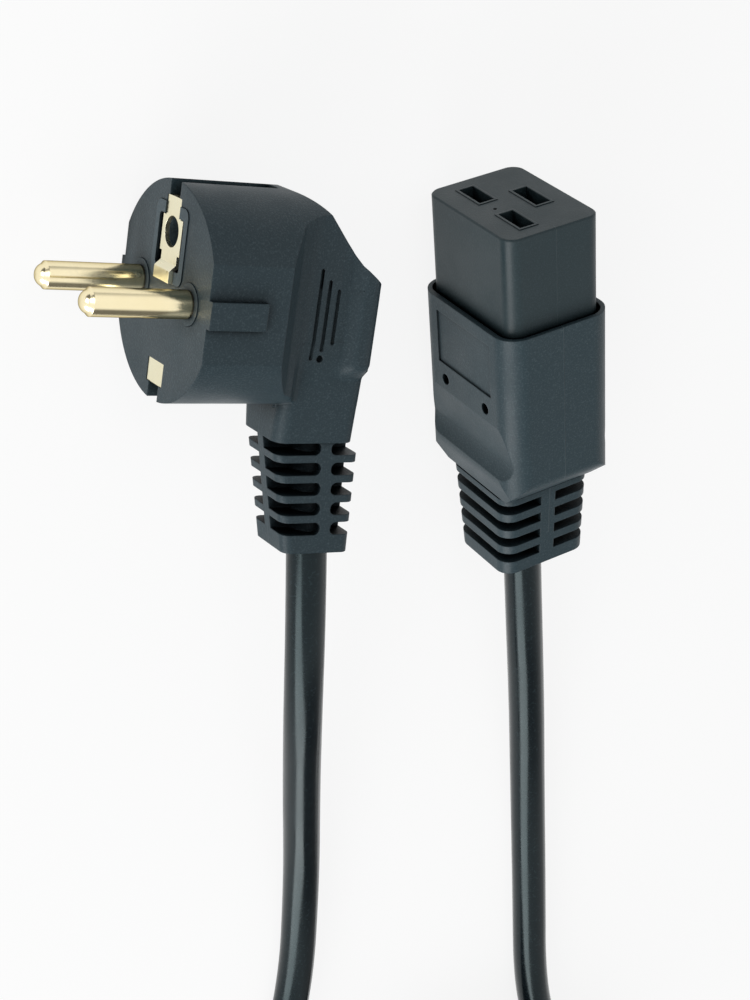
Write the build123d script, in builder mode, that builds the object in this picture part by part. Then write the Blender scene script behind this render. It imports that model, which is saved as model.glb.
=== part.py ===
"""Mains cord set: a right-angled two-pin earthed plug and a straight three-slot connector on one cable.

Both ends are moulded shut. Each end is modelled in a frame of its own and then laid on the ground:

plug frame       x runs back from the face, y up towards the earth hole, z towards the side that lies uppermost
connector frame  y = 0 is the mating face and the cable leaves towards -y, the marked wide side looks to -x

Lengths are in millimetres. The ground is z = 0, and the origin is under the middle of the two ends.
"""

import os
from math import cos, pi, radians, sin, tan

from build123d import *

os.makedirs("parts", exist_ok=True)

# Where each end lies: its own origin, its turn about the vertical and its tilt about its own x axis
PLUG_AT = (-30.1, 30.3, 17.9)
PLUG_TURN, PLUG_TILT = -20.0, -3.0
CONNECTOR_AT = (37.2, 26.1, 19.95)
CONNECTOR_TURN, CONNECTOR_TILT = -1.4, 5.5

# Cable
CABLE_D = 7.5
CORE_D = 2.8
STRAND_D = 1.5
CORE_PITCH_R = 1.75
CORE_BEND = 2.0

# Plug body
FACE_R = 18.6
FLAT_HALF = 16.7
CREASE_X = 14.6
ROUND_BACK = 20.5
SLANT_TOP_X, SLANT_LOW_X, SLANT_LOW_Y = 21.9, 31.6, 7.6
TOP_ROUND = 8.0
BODY_BACK, BACK_TOP, BACK_LOW = 36.2, 4.2, -11.0
BODY_FLOOR, FLOOR_X = -13.4, 34.4
SHOULDER_X, SHOULDER_HALF, SHOULDER_SOFT = 18.5, 11.8, 2.6
WAIST_X, WAIST_HALF, WAIST_SOFT = 22.0, 10.0, 6.0
WAIST_END_X, WAIST_END_HALF = 28.2, 9.3
BACK_RIB_X, BACK_RIB_FOOT, BACK_RIB_HALF = 32.6, 30.2, 10.6
BACK_RIB_SOFT, BACK_ROUND = 1.0, 2.3
RIB_HALF, RIB_PROUD, RIB_LENGTH = 2.3, 1.1, 10.3
GRIP_WIDTH, GRIP_DEPTH = 0.65, 0.5
GRIP_GROOVES = ((24.0, 6.8, -9.0), (25.9, 4.9, -7.5), (27.9, 3.3, -6.3))
SPRUE_D, SPRUE_GAP = 1.2, 1.3

# Plug neck and strain relief
NECK_TOP, NECK_TOP_X, NECK_TOP_HALF = -6.0, (20.5, 36.0), 9.4
NECK_END, NECK_END_X, NECK_END_HALF = -24.6, (21.2, 37.0), 6.7
NECK_ROUND = 2.4
RELIEF_LEAN = 8.2
RELIEF_X, RELIEF_END = 31.0, -45.3
RELIEF_TOP_SIZE, RELIEF_END_SIZE, RELIEF_ROUND = (17.0, 12.4), (13.3, 11.6), 1.8
RELIEF_BACKSET = 1.0
PLUG_SLOTS, PLUG_SLOT_PITCH, PLUG_SLOT_HEIGHT = 5, 3.73, 2.35
PLUG_SPINE, PLUG_SPINE_SHIFT, SLOT_ROUND = 2.1, 0.5, 1.1
RELIEF_CORE_R, RELIEF_END_WALL = 4.4, 0.8
PLUG_JACKET_IN = 5.0

# Plug pins
PIN_D, PIN_LENGTH, PIN_SPREAD = 4.8, 19.0, 19.0
PIN_DOME, PIN_CHAMFER = 1.1, 0.5
PIN_NECK_D, PIN_NECK_X = 4.2, -0.5
PIN_FLANGE_D, PIN_FLANGE_X, PIN_FLANGE_T = 6.4, 4.0, 1.5
PIN_BARREL_D, PIN_END_X = 3.8, 14.0
CRIMP_DEPTH = 4.0

# Plug contact carrier and earth contact
CARRIER_FRONT, CARRIER_BACK = 2.0, 9.0
CARRIER_TOP, CARRIER_BOTTOM, CARRIER_HALF = 13.0, -10.9, 12.6
CARRIER_ROUND = 3.0
CARRIER_PROUD = 0.15
ROOT_DISC_D = 7.0
FRAME_TOP, FRAME_BOTTOM, FRAME_HALF, FRAME_ROUND = 14.6, 1.8, 6.0, 1.5
WINDOW_TOP, WINDOW_BOTTOM, WINDOW_HALF, WINDOW_ROUND = 12.6, 3.9, 4.6, 0.6
STRIP_T, STRIP_FACE_X = 0.8, 0.1
STRIP_LEG_HALF, STRIP_LEG_Y, STRIP_BACK_X = 1.8, 15.0, 17.0
STRIP_TAB_HALF, STRIP_WIDE_HALF, STRIP_LOW_HALF = 2.7, 3.7, 2.9
STRIP_WIDE_TOP, STRIP_WIDE_FLOOR = 12.4, 6.4
STRIP_STEP_TOP, STRIP_STEP_FLOOR, STRIP_END_Y = 4.9, 3.9, 1.9
STRIP_PATCH_HALF, STRIP_PATCH_TOP = 3.0, -11.8
GROOVE_HALF = 1.9
EARTH_Y, EARTH_BORE_D = 10.0, 5.2
BORE_ROOM_D, BORE_ROOM = 6.2, 0.5
SPRING_T, SPRING_HALF, SPRING_BOW, SPRING_FRONT = 0.4, 1.6, 0.4, 3.0

# Connector insert, the hard block with the slots
INSERT_X, INSERT_Z, INSERT_ROUND = 19.7, 27.05, 2.7
INSERT_BACK = -24.0
INSERT_EDGE = 0.25
SLOT_X, SLOT_Z, EARTH_SLOT_Z = 3.0, 7.0, 7.7
RIM_WIDTH, RIM_PROUD = 0.5, 0.12
GATE_AT, GATE_D, GATE_DEPTH = (-4.0, 0.5), 0.7, 0.4
LIVE_X, EARTH_X, LIVE_SPREAD = -3.45, 4.05, 13.0
MOUTH_DEPTH = 5.0

# Connector contacts
CONTACT_X, CONTACT_ROOM_Z, CONTACT_T = 3.9, 0.8, 0.45
CONTACT_BACK = -22.0
NIP_Y, NIP_LENGTH, NIP_HEIGHT = -10.0, 5.0, 0.8
BARREL_D, BARREL_END = 3.4, -30.0

# Connector overmould
COLLAR_X, COLLAR_Z, COLLAR_ROUND = 23.25, 30.2, 4.6
COLLAR_TOP, COLLAR_END = -18.9, -55.6
MOAT_WIDTH, MOAT_DEPTH = 0.75, 1.8
SHOULDER_Y, SHOULDER_Z, SHOULDER_ROUND = -51.0, 9.8, 4.0
HEEL_Y, HEEL_IN, HEEL_ROUND, HEEL_END_ROUND = -50.2, 1.9, 6.0, 0.8
LABEL_TOP, LABEL_FLOOR, LABEL_HALF, LABEL_DEPTH = -21.6, -32.3, 8.9, 0.3
PIP_Y, PIP_Z, PIP_D, PIP_DEPTH = -35.5, 6.8, 2.2, 1.2
SCOOP_TOP, SCOOP_LOW, SCOOP_END, SCOOP_DEPTH, SCOOP_BULGE = -37.9, -45.6, -49.0, 1.35, 1.0

# Connector strain relief
TAIL_TOP_SIZE, TAIL_END_SIZE, TAIL_ROUND = (19.6, 19.8), (19.0, 16.8), 3.0
TAIL_END = -73.3
TAIL_SLOTS, TAIL_SLOT_FIRST, TAIL_SLOT_PITCH, TAIL_SLOT_HEIGHT = 4, -56.9, 3.85, 2.05
TAIL_SPINE = 3.2
CONNECTOR_JACKET_IN = 22.0

# Cable route. Heights are of the cable's middle: it lies on the ground past each end
GROUND = CABLE_D / 2
COIL_AT, COIL_MEAN_R = (-11.0, -221.2), 40.0
COIL_COLUMNS, COIL_LAYERS = 3, 2
COIL_SLACK = 0.08
COIL_IN_ANGLE, COIL_OUT_ANGLE = 160.0, 8.0
STUB, STUB_SLOPE = 30.0, 6.0
LEAD_OUT = (16.0, 20.0)
LAST_RUN = (22.0, 17.0)
RUN_SHARE = 0.45
PLUG_RUN = ((-19.5, -59.2, 18.6), (-20.0, -82.2, 11.5), (-20.9, -108.2, 4.9), (-26.6, -136.2, GROUND))
CONNECTOR_RUN = ((35.4, -88.2, 7.4), (35.0, -112.2, 4.2), (32.6, -139.2, GROUND))

CONNECTOR_PLACE = Pos(*CONNECTOR_AT) * Rot(0, 0, CONNECTOR_TURN) * Rot(CONNECTOR_TILT, 0, 0)
COIL_PLACE = Location((*COIL_AT, 0))
PLUG_PLACE = Pos(*PLUG_AT) * Rot(0, 0, PLUG_TURN) * Rot(PLUG_TILT, 0, 0)


def finish(piece, name, place=Location()):
    """Label a finished piece, move it from its own frame to its place and write it."""
    piece.part.label = name
    export_step(piece.part.moved(place), f"parts/{name}.step")


def level(x, y, z=0.0):
    """Plane across the cable at height y, with its first axis along x and its normal down the cable."""
    return Plane(origin=(x, y, z), x_dir=(1, 0, 0), z_dir=(0, -1, 0))


def span(x0, x1, y0, y1):
    """Corners of an upright rectangle in a sketch."""
    return [(x0, y0), (x1, y0), (x1, y1), (x0, y1)]


# Round core of both strain reliefs: the axis of the plug's one leans back
LEAN_STEP = tan(radians(RELIEF_LEAN))
RELIEF_AXIS = Plane(
    origin=(RELIEF_X, NECK_END, 0),
    x_dir=(0, 0, 1),
    z_dir=(sin(radians(RELIEF_LEAN)), -cos(radians(RELIEF_LEAN)), 0),
)
RELIEF_RUN = (NECK_END - RELIEF_END) / cos(radians(RELIEF_LEAN))
TAIL_AXIS = level(0, COLLAR_END)

# Earth contact: one bent strip, face leg, two side legs in the grooves and a back leg that joins them
with BuildPart() as plug_earth_strip:
    with BuildSketch(Plane.XY):
        with BuildLine():
            Polyline(
                (STRIP_FACE_X, STRIP_LEG_Y + STRIP_T),
                (STRIP_FACE_X, STRIP_STEP_TOP),
                (-CARRIER_PROUD - STRIP_T, STRIP_STEP_FLOOR),
                (-CARRIER_PROUD - STRIP_T, STRIP_END_Y),
                (-CARRIER_PROUD, STRIP_END_Y),
                (-CARRIER_PROUD, STRIP_STEP_FLOOR - 0.3),
                (STRIP_FACE_X + STRIP_T, STRIP_STEP_TOP - 0.3),
                (STRIP_FACE_X + STRIP_T, STRIP_LEG_Y + STRIP_T),
                close=True,
            )
        make_face()
    extrude(amount=STRIP_WIDE_HALF, both=True)
    with BuildSketch(Plane.YZ.offset(-2)):
        Polygon(*span(STRIP_WIDE_TOP, STRIP_LEG_Y + STRIP_T, -STRIP_TAB_HALF, STRIP_TAB_HALF), align=None)
        Polygon(*span(STRIP_WIDE_FLOOR, STRIP_WIDE_TOP, -STRIP_WIDE_HALF, STRIP_WIDE_HALF), align=None)
        Polygon(*span(STRIP_END_Y, STRIP_WIDE_FLOOR, -STRIP_LOW_HALF, STRIP_LOW_HALF), align=None)
        with Locations((EARTH_Y, 0)):
            Circle(EARTH_BORE_D / 2, mode=Mode.SUBTRACT)
    extrude(amount=4, mode=Mode.INTERSECT)
    with BuildSketch(Plane.XY):
        Polygon(*span(STRIP_FACE_X, STRIP_BACK_X + STRIP_T, -STRIP_LEG_Y - STRIP_T, STRIP_LEG_Y + STRIP_T), align=None)
        Polygon(*span(STRIP_FACE_X - 1, STRIP_BACK_X, -STRIP_LEG_Y, STRIP_LEG_Y), align=None, mode=Mode.SUBTRACT)
    extrude(amount=STRIP_LEG_HALF, both=True)
    with BuildSketch(Plane.YZ.offset(STRIP_FACE_X)):
        Polygon(*span(-STRIP_LEG_Y - STRIP_T, STRIP_PATCH_TOP, -STRIP_PATCH_HALF, STRIP_PATCH_HALF), align=None)
    extrude(amount=STRIP_T)

# Spring leaf of the earth hole: it stands on the strip's back leg and bows up to the wall of the bore
SPRING_FLOOR = EARTH_Y - EARTH_BORE_D / 2 - SPRING_BOW - SPRING_T
with BuildPart() as plug_earth_spring:
    with BuildSketch(Plane.XY):
        middle = (SPRING_FRONT + STRIP_BACK_X) / 2
        Polygon(
            (SPRING_FRONT, SPRING_FLOOR), (middle, SPRING_FLOOR + SPRING_BOW), (STRIP_BACK_X, SPRING_FLOOR),
            (STRIP_BACK_X, SPRING_FLOOR + SPRING_T), (middle, SPRING_FLOOR + SPRING_BOW + SPRING_T),
            (SPRING_FRONT, SPRING_FLOOR + SPRING_T),
            align=None,
        )
    extrude(amount=SPRING_HALF, both=True)

# Earth bore, a little wider at its end, with the slot below it in which the leaf gives way
with BuildPart() as earth_cutter:
    with BuildSketch(Plane.YZ.offset(-1)):
        with Locations((EARTH_Y, 0)):
            Circle(EARTH_BORE_D / 2)
    extrude(amount=STRIP_BACK_X + 1)
    with BuildSketch(Plane.YZ.offset(STRIP_BACK_X - BORE_ROOM)):
        with Locations((EARTH_Y, 0)):
            Circle(BORE_ROOM_D / 2)
    extrude(amount=BORE_ROOM)
    with BuildSketch(Plane.YZ.offset(SPRING_FRONT)):
        Polygon(*span(SPRING_FLOOR, EARTH_Y, -SPRING_HALF, SPRING_HALF), align=None)
    extrude(amount=STRIP_BACK_X - SPRING_FRONT)


def pin(z):
    """Turned pin on the line y = 0 at the given z: domed tip, shank, holding flange and crimp barrel."""
    tip_r = PIN_D / 2 - PIN_CHAMFER
    with BuildPart() as turned:
        with BuildSketch(Plane.XY):
            with BuildLine():
                ThreePointArc((-PIN_LENGTH, 0), (-PIN_LENGTH + 0.25, tip_r * 0.62), (-PIN_LENGTH + PIN_DOME, tip_r))
                Polyline(
                    (-PIN_LENGTH + PIN_DOME, tip_r),
                    (-PIN_LENGTH + PIN_DOME + PIN_CHAMFER, PIN_D / 2),
                    (PIN_NECK_X, PIN_D / 2),
                    (PIN_NECK_X, PIN_NECK_D / 2),
                    (PIN_FLANGE_X, PIN_NECK_D / 2),
                    (PIN_FLANGE_X, PIN_FLANGE_D / 2),
                    (PIN_FLANGE_X + PIN_FLANGE_T, PIN_FLANGE_D / 2),
                    (PIN_FLANGE_X + PIN_FLANGE_T, PIN_BARREL_D / 2),
                    (PIN_END_X, PIN_BARREL_D / 2),
                    (PIN_END_X, STRAND_D / 2),
                    (PIN_END_X - CRIMP_DEPTH, STRAND_D / 2),
                    (PIN_END_X - CRIMP_DEPTH, 0),
                    (-PIN_LENGTH, 0),
                )
            make_face()
        revolve(axis=Axis.X)
    turned.part = turned.part.moved(Pos(0, 0, z))
    return turned


plug_pin_line = pin(PIN_SPREAD / 2)
plug_pin_neutral = pin(-PIN_SPREAD / 2)

# Contact carrier: hard inner moulding that holds the pins and frames the earth contact
with BuildPart() as plug_contact_carrier:
    with BuildSketch(Plane.YZ.offset(CARRIER_FRONT)):
        with Locations(((CARRIER_TOP + CARRIER_BOTTOM) / 2, 0)):
            RectangleRounded(CARRIER_TOP - CARRIER_BOTTOM, 2 * CARRIER_HALF, CARRIER_ROUND)
    extrude(amount=CARRIER_BACK - CARRIER_FRONT)
    with BuildSketch(Plane.YZ.offset(-CARRIER_PROUD)):
        with Locations(((FRAME_TOP + FRAME_BOTTOM) / 2, 0)):
            RectangleRounded(FRAME_TOP - FRAME_BOTTOM, 2 * FRAME_HALF, FRAME_ROUND)
        with Locations((0, -PIN_SPREAD / 2), (0, PIN_SPREAD / 2)):
            Circle(ROOT_DISC_D / 2)
    extrude(amount=CARRIER_FRONT + CARRIER_PROUD)
    with BuildSketch(Plane.YZ.offset(-CARRIER_PROUD)):
        with Locations(((WINDOW_TOP + WINDOW_BOTTOM) / 2, 0)):
            RectangleRounded(WINDOW_TOP - WINDOW_BOTTOM, 2 * WINDOW_HALF, WINDOW_ROUND)
        Polygon(*span(WINDOW_BOTTOM + 1, FRAME_TOP + 1, -STRIP_TAB_HALF, STRIP_TAB_HALF), align=None)
    extrude(amount=CARRIER_PROUD + STRIP_FACE_X + STRIP_T, mode=Mode.SUBTRACT)
    add(earth_cutter.part, mode=Mode.SUBTRACT)
    for inner in (plug_earth_strip, plug_earth_spring, plug_pin_line, plug_pin_neutral):
        add(inner.part, mode=Mode.SUBTRACT)


def wire(points, diameter):
    """Round wire along straight runs joined by arcs."""
    with BuildPart() as drawn:
        with BuildLine() as path:
            FilletPolyline(*points, radius=CORE_BEND)
        first = Vector(*points[1]) - Vector(*points[0])
        with BuildSketch(Plane(origin=points[0], z_dir=first)):
            Circle(diameter / 2)
        sweep()
    return drawn


def core(points, bare):
    """Copper strand along the points, and the insulation round it up to the bare end, `bare` past a point."""
    corner, length = bare
    strand = wire(points, STRAND_D)
    run = (Vector(*points[corner + 1]) - Vector(*points[corner])).normalized()
    end = Vector(*points[corner]) + run * length
    sleeve = wire([*points[: corner + 1], tuple(end)], CORE_D)
    sleeve.part = sleeve.part - strand.part
    return strand, sleeve


def around(axis, place, angle):
    """Point beside a cable axis, on the circle of the three cores."""
    spot = axis.from_local_coords((CORE_PITCH_R * cos(radians(angle)), CORE_PITCH_R * sin(radians(angle)), place))
    return tuple(spot)


# Cores of the plug end: two to the pins' crimp barrels, one welded along the earth strip's back leg
plug_cores = {}
for core_name, turn, z in (("line", 30, PIN_SPREAD / 2), ("neutral", 150, -PIN_SPREAD / 2)):
    plug_cores[core_name] = core(
        [
            around(RELIEF_AXIS, -PLUG_JACKET_IN, turn),
            around(RELIEF_AXIS, -PLUG_JACKET_IN - 8, turn),
            (22.0, -2.5, z * 0.62),
            (PIN_END_X + 3.5, 0, z),
            (PIN_END_X - CRIMP_DEPTH, 0, z),
        ],
        (3, 2.8),
    )
earth_touch = STRIP_BACK_X + STRIP_T + STRAND_D / 2
plug_cores["earth"] = core(
    [
        around(RELIEF_AXIS, -PLUG_JACKET_IN, 270),
        around(RELIEF_AXIS, -PLUG_JACKET_IN - 12, 270),
        (earth_touch, 1.0, 0),
        (earth_touch, 8.0, 0),
    ],
    (1, 11.0),
)

# Jacket end inside the plug: it stops where the cores fan out
with BuildPart() as plug_cable_end:
    with BuildSketch(RELIEF_AXIS.offset(-PLUG_JACKET_IN)):
        Circle(CABLE_D / 2)
    extrude(amount=PLUG_JACKET_IN + RELIEF_RUN)

# Side grip grooves and the round sprue mark below the middle one, cut into the waist
WAIST_SLOPE = (WAIST_HALF - WAIST_END_HALF) / (WAIST_END_X - WAIST_X)
with BuildPart() as grip_cutter:
    for x, top, floor in GRIP_GROOVES:
        surface = WAIST_HALF - (x - WAIST_X) * WAIST_SLOPE
        with BuildSketch(Plane.XY.offset(surface - GRIP_DEPTH)):
            with Locations((x, (top + floor) / 2)):
                SlotOverall(top - floor, GRIP_WIDTH, rotation=90)
        extrude(amount=6)
    sprue_x, sprue_y = GRIP_GROOVES[1][0], GRIP_GROOVES[1][2] - SPRUE_GAP
    with BuildSketch(Plane.XY.offset(WAIST_HALF - (sprue_x - WAIST_X) * WAIST_SLOPE - 2 * GRIP_DEPTH)):
        with Locations((sprue_x, sprue_y)):
            Circle(SPRUE_D / 2)
    extrude(amount=6)
    mirror(about=Plane.XY)

# Slots of the plug's strain relief: four corner pockets on each level, so a spine stays on every side
with BuildPart() as relief_cutter:
    for n in range(PLUG_SLOTS):
        y = NECK_END - PLUG_SLOT_HEIGHT / 2 - n * PLUG_SLOT_PITCH
        x = RELIEF_X + (NECK_END - y) * LEAN_STEP + PLUG_SPINE_SHIFT
        reach = RELIEF_TOP_SIZE[0]
        with BuildSketch(Plane.XY.offset(PLUG_SPINE / 2)):
            with Locations((x - (PLUG_SPINE + reach) / 2, y), (x + (PLUG_SPINE + reach) / 2, y)):
                RectangleRounded(reach, PLUG_SLOT_HEIGHT, SLOT_ROUND)
        extrude(amount=reach)
    mirror(about=Plane.XY)

# Plug overmould: side outline, plan outline and the round of the face, cut to their common solid
with BuildPart() as plug_overmould:
    with BuildSketch(Plane.XY) as side:
        Polygon(
            (0, -FACE_R), (0, FACE_R), (SLANT_TOP_X, FACE_R), (SLANT_LOW_X, SLANT_LOW_Y), (BODY_BACK, BACK_TOP),
            (BODY_BACK, BACK_LOW), (FLOOR_X, BODY_FLOOR), (ROUND_BACK, BODY_FLOOR), (ROUND_BACK, -FACE_R),
            align=None,
        )
        fillet(side.vertices().group_by(Axis.Y)[-1].sort_by(Axis.X)[-1], TOP_ROUND)
    extrude(amount=FACE_R, both=True)
    with BuildSketch(Plane.XZ) as plan:
        with BuildLine():
            Polyline(
                (0, 0), (0, FLAT_HALF), (CREASE_X, FLAT_HALF), (SHOULDER_X, SHOULDER_HALF), (WAIST_X, WAIST_HALF),
                (WAIST_END_X, WAIST_END_HALF), (BACK_RIB_FOOT, WAIST_END_HALF), (BACK_RIB_X, BACK_RIB_HALF),
                (BODY_BACK, BACK_RIB_HALF), (BODY_BACK, 0),
                close=True,
            )
        make_face()
        corners = (
            (SHOULDER_X, SHOULDER_SOFT), (WAIST_X, WAIST_SOFT), (BACK_RIB_FOOT, BACK_RIB_SOFT),
            (BACK_RIB_X, BACK_RIB_SOFT),
        )
        for x, r in corners:
            fillet(plan.vertices().filter_by_position(Axis.X, x - 0.05, x + 0.05), r)
        fillet(plan.vertices().group_by(Axis.X)[-1].sort_by(Axis.Y)[-1], BACK_ROUND)
        mirror(about=Plane.XZ)
    extrude(amount=FACE_R, both=True, mode=Mode.INTERSECT)
    with BuildSketch(Plane.YZ):
        Circle(FACE_R)
    extrude(amount=BODY_BACK, mode=Mode.INTERSECT)
    with BuildSketch(Plane.YZ):
        Rectangle(2 * RIB_HALF, 2 * (FLAT_HALF + RIB_PROUD))
    extrude(amount=RIB_LENGTH)
    with BuildSketch(Plane.YZ.offset(ROUND_BACK)):
        for side in (-1, 1):
            Polygon(
                (NECK_TOP, side * NECK_TOP_HALF), (NECK_TOP, side * FACE_R), (NECK_END, side * FACE_R),
                (NECK_END, side * NECK_END_HALF),
                align=None,
            )
    extrude(amount=BODY_BACK, mode=Mode.SUBTRACT)
    with BuildSketch(level(sum(NECK_TOP_X) / 2, NECK_TOP)):
        RectangleRounded(NECK_TOP_X[1] - NECK_TOP_X[0], 2 * NECK_TOP_HALF, NECK_ROUND)
    with BuildSketch(level(sum(NECK_END_X) / 2, NECK_END)):
        RectangleRounded(NECK_END_X[1] - NECK_END_X[0], 2 * NECK_END_HALF, NECK_ROUND)
    loft()
    with BuildSketch(level(RELIEF_X - RELIEF_BACKSET, NECK_END)):
        RectangleRounded(*RELIEF_TOP_SIZE, RELIEF_ROUND)
    with BuildSketch(level(RELIEF_X - RELIEF_BACKSET + (NECK_END - RELIEF_END) * LEAN_STEP, RELIEF_END)):
        RectangleRounded(*RELIEF_END_SIZE, RELIEF_ROUND)
    loft()
    add(relief_cutter.part, mode=Mode.SUBTRACT)
    with BuildSketch(RELIEF_AXIS):
        Circle(RELIEF_CORE_R)
    extrude(amount=RELIEF_RUN - RELIEF_END_WALL)
    with BuildSketch(RELIEF_AXIS.offset(-PLUG_JACKET_IN)):
        Circle(CABLE_D / 2)
    extrude(amount=PLUG_JACKET_IN + RELIEF_RUN + RELIEF_END_WALL, mode=Mode.SUBTRACT)
    with BuildSketch(Plane.YZ):
        Polygon(*span(STRIP_LEG_Y, FACE_R + 1, -GROOVE_HALF, GROOVE_HALF), align=None)
        Polygon(*span(-FACE_R - 1, -STRIP_LEG_Y, -GROOVE_HALF, GROOVE_HALF), align=None)
    extrude(amount=STRIP_BACK_X + STRIP_T, mode=Mode.SUBTRACT)
    with BuildSketch(Plane.YZ):
        Polygon(*span(FRAME_TOP - 1, STRIP_LEG_Y + STRIP_T, -STRIP_TAB_HALF, STRIP_TAB_HALF), align=None)
        Polygon(*span(-STRIP_LEG_Y - STRIP_T, STRIP_PATCH_TOP, -STRIP_PATCH_HALF, STRIP_PATCH_HALF), align=None)
    extrude(amount=STRIP_FACE_X, mode=Mode.SUBTRACT)
    add(earth_cutter.part, mode=Mode.SUBTRACT)
    add(grip_cutter.part, mode=Mode.SUBTRACT)
    with BuildSketch(Plane.YZ):
        with Locations(((FRAME_TOP + FRAME_BOTTOM) / 2, 0)):
            RectangleRounded(FRAME_TOP - FRAME_BOTTOM, 2 * FRAME_HALF, FRAME_ROUND)
    extrude(amount=CARRIER_FRONT, mode=Mode.SUBTRACT)
    for inner in (plug_contact_carrier, plug_earth_strip, plug_earth_spring, plug_pin_line, plug_pin_neutral):
        add(inner.part, mode=Mode.SUBTRACT)
    for strand, sleeve in plug_cores.values():
        add(strand.part, mode=Mode.SUBTRACT)
        add(sleeve.part, mode=Mode.SUBTRACT)

# Place of each contact, length of its slot and angle of its core in the cable
CONTACTS = {
    "line": (LIVE_X, LIVE_SPREAD / 2, SLOT_Z, 120),
    "neutral": (LIVE_X, -LIVE_SPREAD / 2, SLOT_Z, 240),
    "earth": (EARTH_X, 0, EARTH_SLOT_Z, 0),
}


def contact(x, z, tall):
    """Female contact: folded box with two nips that grip the blade, and a crimp barrel behind it."""
    with BuildPart() as folded:
        with BuildSketch(level(x, -MOUTH_DEPTH, z)):
            Rectangle(CONTACT_X, tall)
            Rectangle(CONTACT_X - 2 * CONTACT_T, tall - 2 * CONTACT_T, mode=Mode.SUBTRACT)
        extrude(amount=-MOUTH_DEPTH - CONTACT_BACK)
        with BuildSketch(level(x, CONTACT_BACK, z)):
            Rectangle(CONTACT_X, tall)
        extrude(amount=-CONTACT_T)
        with BuildSketch(Plane.XY.offset(z)):
            for side in (-1, 1):
                wall = x + side * (CONTACT_X / 2 - CONTACT_T)
                Polygon(
                    (wall, NIP_Y), (wall - side * NIP_HEIGHT, NIP_Y - NIP_LENGTH / 2), (wall, NIP_Y - NIP_LENGTH),
                    align=None,
                )
        extrude(amount=tall / 2 - CONTACT_T, both=True)
        with BuildSketch(level(x, CONTACT_BACK, z)):
            Circle(BARREL_D / 2)
            Circle(STRAND_D / 2, mode=Mode.SUBTRACT)
        extrude(amount=CONTACT_BACK - BARREL_END)
    return folded


tail_in = COLLAR_END - TAIL_END - CONNECTOR_JACKET_IN
connector_contacts = {}
connector_cores = {}
for core_name, (x, z, slot_z, turn) in CONTACTS.items():
    connector_contacts[core_name] = contact(x, z, slot_z + CONTACT_ROOM_Z)
    connector_cores[core_name] = core(
        [
            around(TAIL_AXIS, tail_in, turn),
            around(TAIL_AXIS, tail_in - 4, turn),
            (x, BARREL_END - 4.5, z),
            (x, CONTACT_BACK - CONTACT_T, z),
        ],
        (2, 3.6),
    )

# Jacket end inside the connector
with BuildPart() as connector_cable_end:
    with BuildSketch(TAIL_AXIS.offset(tail_in)):
        Circle(CABLE_D / 2)
    extrude(amount=CONNECTOR_JACKET_IN)

# Insert: the block that goes into the inlet, with three slots and a raised rim round each
with BuildPart() as connector_insert:
    with BuildSketch(level(0, 0)):
        RectangleRounded(INSERT_X, INSERT_Z, INSERT_ROUND)
    extrude(amount=-INSERT_BACK)
    chamfer(connector_insert.faces().sort_by(Axis.Y)[-1].edges(), INSERT_EDGE)
    for x, z, slot_z, turn in CONTACTS.values():
        with BuildSketch(level(x, RIM_PROUD, z)):
            Rectangle(SLOT_X + 2 * RIM_WIDTH, slot_z + 2 * RIM_WIDTH)
        extrude(amount=RIM_PROUD)
    for x, z, slot_z, turn in CONTACTS.values():
        with BuildSketch(level(x, RIM_PROUD, z)):
            Rectangle(SLOT_X, slot_z)
        extrude(amount=MOUTH_DEPTH + RIM_PROUD, mode=Mode.SUBTRACT)
        with BuildSketch(level(x, -MOUTH_DEPTH, z)):
            Rectangle(CONTACT_X, slot_z + CONTACT_ROOM_Z)
        extrude(amount=-MOUTH_DEPTH - CONTACT_BACK, mode=Mode.SUBTRACT)
        with BuildSketch(level(x, CONTACT_BACK, z)):
            Circle(BARREL_D / 2)
        extrude(amount=CONTACT_BACK - INSERT_BACK, mode=Mode.SUBTRACT)
    with BuildSketch(level(GATE_AT[0], 0, GATE_AT[1])):
        Circle(GATE_D / 2)
    extrude(amount=GATE_DEPTH, mode=Mode.SUBTRACT)

# Thumb scoop of the wide sides: it deepens towards the cable, ends in a hollow wall and runs out on the corners
with BuildPart() as scoop_cutter:
    with BuildSketch(Plane.XY):
        with BuildLine():
            face_x = -COLLAR_X / 2
            Polyline((face_x - 2, SCOOP_TOP), (face_x, SCOOP_TOP), (face_x + SCOOP_DEPTH, SCOOP_LOW))
            ThreePointArc(
                (face_x + SCOOP_DEPTH, SCOOP_LOW),
                (face_x + SCOOP_BULGE, (SCOOP_LOW + SCOOP_END) / 2),
                (face_x, SCOOP_END),
            )
            Polyline((face_x, SCOOP_END), (face_x - 2, SCOOP_END), (face_x - 2, SCOOP_TOP))
        make_face()
    extrude(amount=COLLAR_Z, both=True)
    mirror(about=Plane.YZ)

# Slots of the connector's strain relief go right across its wide sides and leave one spine on each narrow side
with BuildPart() as tail_cutter:
    for n in range(TAIL_SLOTS):
        y = TAIL_SLOT_FIRST - TAIL_SLOT_HEIGHT / 2 - n * TAIL_SLOT_PITCH
        with BuildSketch(Plane.XY):
            with Locations((-(TAIL_SPINE + COLLAR_X) / 2, y), ((TAIL_SPINE + COLLAR_X) / 2, y)):
                Rectangle(COLLAR_X, TAIL_SLOT_HEIGHT)
        extrude(amount=COLLAR_Z, both=True)

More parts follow.
